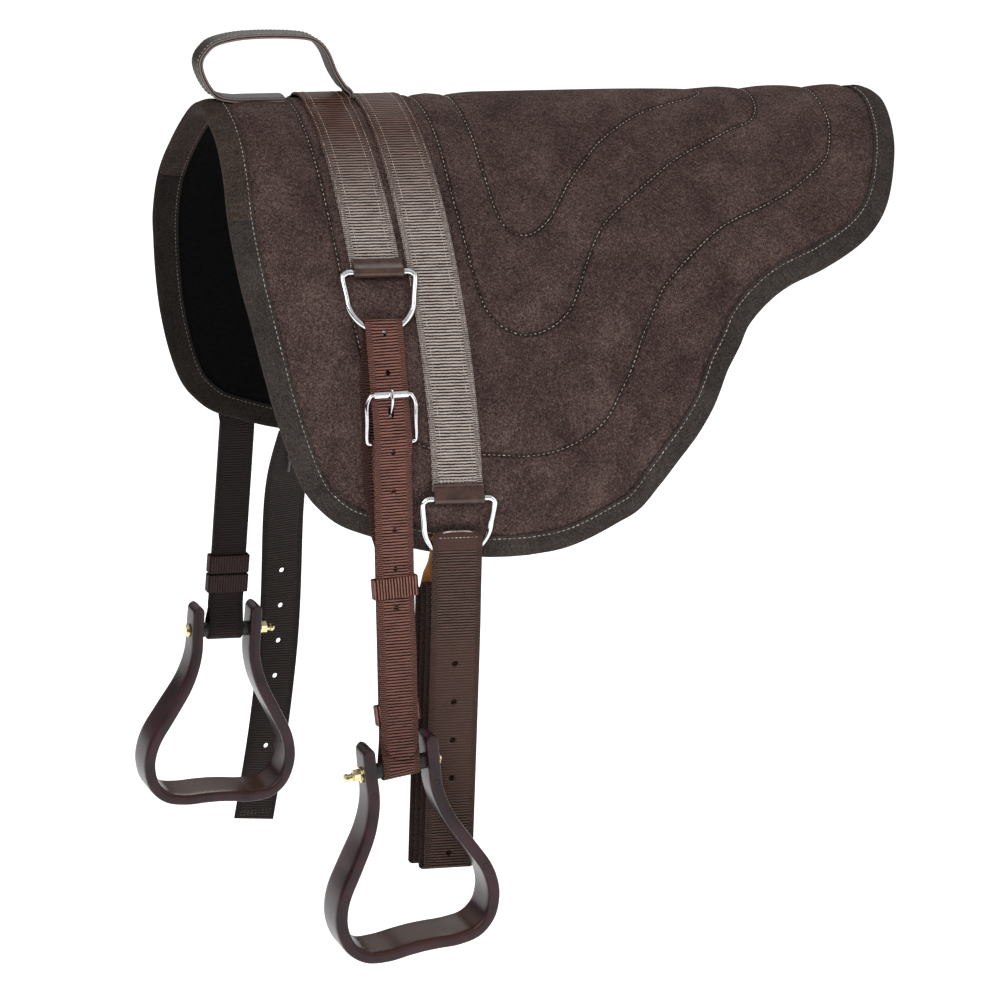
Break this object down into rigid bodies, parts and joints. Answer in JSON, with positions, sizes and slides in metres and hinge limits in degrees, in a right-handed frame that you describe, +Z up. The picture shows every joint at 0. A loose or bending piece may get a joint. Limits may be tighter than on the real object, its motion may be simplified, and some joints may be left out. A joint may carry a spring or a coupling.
{
  "type": "bareback riding pad",
  "caption": "Quilted suede bareback riding pad with webbing bands, grab handle, D-rings, buckled stirrup straps with moulded stirrups, folded latigo and off billet.",
  "frame": {"origin": "on the pad's underside, on the spine line, half way along the pad's length", "axes": "-X towards the horse's head, -Y the horse's near (left) side, +Z up; the part hangs over a horse's back"},
  "size_m": [0.7422, 0.5941, 0.9553],
  "materials": {
    "felt": "black wool-blend felt",
    "foam": "closed-cell foam, unseen",
    "leather": "dark brown leather",
    "leather_tan": "tan latigo leather",
    "nickel": "bright nickel plate",
    "plastic": "dark brown moulded plastic, glossy",
    "rubber": "black rubber",
    "strap": "dark brown strap leather, semi-matt",
    "suede": "brown-black split suede, rough nap",
    "suede_dark": "darker split suede binding",
    "webbing": "brown woven webbing, ribbed",
    "yellow_zinc": "yellowish plated steel"
  },
  "bodies": {
    "pad": {"suede_cover": "suede", "foam_core": "foam", "felt_lining": "felt", "binding_front": "suede", "binding_left": "suede_dark", "binding_right": "suede_dark", "webbing_front": "webbing", "webbing_rear": "webbing", "handle_outer": "webbing", "handle_inner": "webbing", "chape_front_left": "leather", "chape_front_right": "leather", "chape_rear_left": "leather", "chape_rear_right": "leather"},
    "ring_front_left": {"ring_front_left": "nickel"},
    "ring_front_right": {"ring_front_right": "nickel"},
    "ring_rear_left": {"ring_rear_left": "nickel"},
    "ring_rear_right": {"ring_rear_right": "nickel"},
    "strap_left": {"stirrup_strap_left": "strap", "buckle_frame_left": "nickel", "sleeve_left": "rubber"},
    "roller_left": {"buckle_roller_left": "nickel"},
    "tongue_left": {"buckle_tongue_left": "nickel"},
    "keeper_upper_left": {"keeper_upper_left": "strap"},
    "keeper_lower_left": {"keeper_lower_left": "strap"},
    "stirrup_left": {"stirrup_left": "plastic", "bolt_left": "yellow_zinc", "nut_left": "yellow_zinc", "washer_left": "yellow_zinc"},
    "strap_right": {"stirrup_strap_right": "strap", "buckle_frame_right": "nickel", "sleeve_right": "rubber"},
    "roller_right": {"buckle_roller_right": "nickel"},
    "tongue_right": {"buckle_tongue_right": "nickel"},
    "keeper_upper_right": {"keeper_upper_right": "strap"},
    "keeper_lower_right": {"keeper_lower_right": "strap"},
    "stirrup_right": {"stirrup_right": "plastic", "bolt_right": "yellow_zinc", "nut_right": "yellow_zinc", "washer_right": "yellow_zinc"},
    "latigo": {"latigo_webbing": "webbing", "latigo_leather": "leather_tan"},
    "billet": {"billet_webbing": "webbing", "billet_lace": "leather", "billet_knot": "leather"}
  },
  "joints": [
    {"name": "ring_front_left_hinge", "type": "hinge", "parent": "pad", "child": "ring_front_left", "pos_m": [-0.23821, -0.16611, -0.10772], "axis": [-0.9963, 0.0633, 0.0577], "range_deg": [0, 90]},
    {"name": "ring_front_right_hinge", "type": "hinge", "parent": "pad", "child": "ring_front_right", "pos_m": [-0.23821, 0.16611, -0.10772], "axis": [0.9963, 0.0633, -0.0577], "range_deg": [0, 2]},
    {"name": "ring_rear_left_hinge", "type": "hinge", "parent": "pad", "child": "ring_rear_left", "pos_m": [-0.18199, -0.23596, -0.32315], "axis": [-0.995, 0.0811, 0.0588], "range_deg": [-1, 1]},
    {"name": "ring_rear_right_hinge", "type": "hinge", "parent": "pad", "child": "ring_rear_right", "pos_m": [-0.18199, 0.23596, -0.32315], "axis": [0.995, 0.0811, -0.0588], "range_deg": [-2, 90]},
    {"name": "strap_left_swing", "type": "hinge", "parent": "ring_front_left", "child": "strap_left", "pos_m": [-0.24012, -0.17651, -0.12926], "axis": [-0.0318, -0.899, 0.4368], "range_deg": [-25, 2.5]},
    {"name": "roller_left_spin", "type": "hinge", "parent": "strap_left", "child": "roller_left", "pos_m": [-0.24538, -0.21985, -0.21572], "axis": [0.9979, -0.0542, -0.0368], "continuous": true},
    {"name": "tongue_left_hinge", "type": "hinge", "parent": "strap_left", "child": "tongue_left", "pos_m": [-0.24682, -0.22419, -0.26241], "axis": [0.9987, -0.0474, -0.0212], "range_deg": [-0.4, 1.8]},
    {"name": "keeper_upper_left_slide", "type": "slide", "parent": "strap_left", "child": "keeper_upper_left", "axis": [0.0382, 0.1485, 0.9882], "range_m": [-0.02, 0.035]},
    {"name": "keeper_lower_left_slide", "type": "slide", "parent": "strap_left", "child": "keeper_lower_left", "axis": [0.0382, 0.1485, 0.9882], "range_m": [-0.008, 0.045]},
    {"name": "stirrup_left_swing", "type": "hinge", "parent": "strap_left", "child": "stirrup_left", "pos_m": [-0.259, -0.272, -0.578], "axis": [-0.9962, 0, -0.0872], "range_deg": [-3, 60]},
    {"name": "strap_right_swing", "type": "hinge", "parent": "ring_front_right", "child": "strap_right", "pos_m": [-0.24012, 0.17651, -0.12926], "axis": [0.0318, -0.899, -0.4368], "range_deg": [-25, 0]},
    {"name": "roller_right_spin", "type": "hinge", "parent": "strap_right", "child": "roller_right", "pos_m": [-0.2475, 0.21933, -0.21583], "axis": [0.9966, 0.0546, -0.0618], "continuous": true},
    {"name": "tongue_right_hinge", "type": "hinge", "parent": "strap_right", "child": "tongue_right", "pos_m": [-0.25064, 0.2232, -0.26251], "axis": [-0.9967, -0.0482, 0.0648], "range_deg": [-0.4, 1.8]},
    {"name": "keeper_upper_right_slide", "type": "slide", "parent": "strap_right", "child": "keeper_upper_right", "axis": [0.0756, -0.0298, 0.9967], "range_m": [-0.0015, 0.055]},
    {"name": "keeper_lower_right_slide", "type": "slide", "parent": "strap_right", "child": "keeper_lower_right", "axis": [0.0756, -0.0298, 0.9967], "range_m": [-0.008, 0.0015]},
    {"name": "stirrup_right_swing", "type": "hinge", "parent": "strap_right", "child": "stirrup_right", "pos_m": [-0.2765, 0.238, -0.604], "axis": [0.9962, 0, -0.0872], "range_deg": [-60, 8]},
    {"name": "latigo_swing", "type": "hinge", "parent": "ring_rear_left", "child": "latigo", "pos_m": [-0.1834, -0.23593, -0.34711], "axis": [-0.081, -0.9967, 0.0034], "range_deg": [-25, 18]},
    {"name": "billet_swing", "type": "hinge", "parent": "ring_rear_right", "child": "billet", "pos_m": [-0.1834, 0.23593, -0.34711], "axis": [0.081, -0.9967, -0.0034], "range_deg": [-25, 35]}
  ]
}
